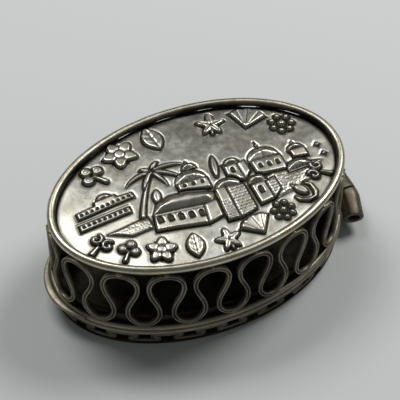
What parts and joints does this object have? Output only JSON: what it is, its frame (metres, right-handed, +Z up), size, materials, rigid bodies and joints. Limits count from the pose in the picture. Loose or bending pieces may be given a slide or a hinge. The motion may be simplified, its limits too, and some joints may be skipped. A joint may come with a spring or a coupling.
{
  "type": "oval filigree spice box",
  "caption": "Small oval hinged box of silver: an embossed plate set in a wire rim, a wall of bent flat wire in omega waves, and a shallow tray with a tube hinge.",
  "frame": {"origin": "centre of the flat underside of the bottom plate", "axes": "+Z up through the plate of the lid, +X towards the hinge along the long axis, +Y completes it, with -Y the front"},
  "size_m": [0.0535, 0.0318, 0.0188],
  "materials": {
    "bright_silver": "antiqued silver, polished on the raised work and darkened in the recesses",
    "wire_silver": "drawn silver wire, tarnished, with a dull satin shine",
    "dark_silver": "oxidised silver, nearly black inside the box",
    "hinge_silver": "brownish tarnished silver tube"
  },
  "bodies": {
    "tray": {"base_plate": "wire_silver", "base_collar": "dark_silver", "base_top_ring": "wire_silver", "base_meander_front": "wire_silver", "base_meander_back": "wire_silver", "hinge_knuckle_front": "hinge_silver", "hinge_knuckle_rear": "hinge_silver", "hinge_saddle_front": "hinge_silver", "hinge_saddle_rear": "hinge_silver", "hinge_pin": "dark_silver"},
    "lid": {"lid_plate": "bright_silver", "lid_top_rim": "bright_silver", "lid_bezel": "dark_silver", "lid_lower_ring": "wire_silver", "lid_meander_front": "wire_silver", "lid_meander_back": "wire_silver", "lid_thumb_lip": "wire_silver", "lid_hinge_knuckle": "hinge_silver", "lid_hinge_strap": "hinge_silver"}
  },
  "joints": [
    {"name": "lid_hinge", "type": "hinge", "parent": "tray", "child": "lid", "pos_m": [0.02623, 0, 0.0038], "axis": [0, 1, 0], "range_deg": [0, 105]}
  ]
}
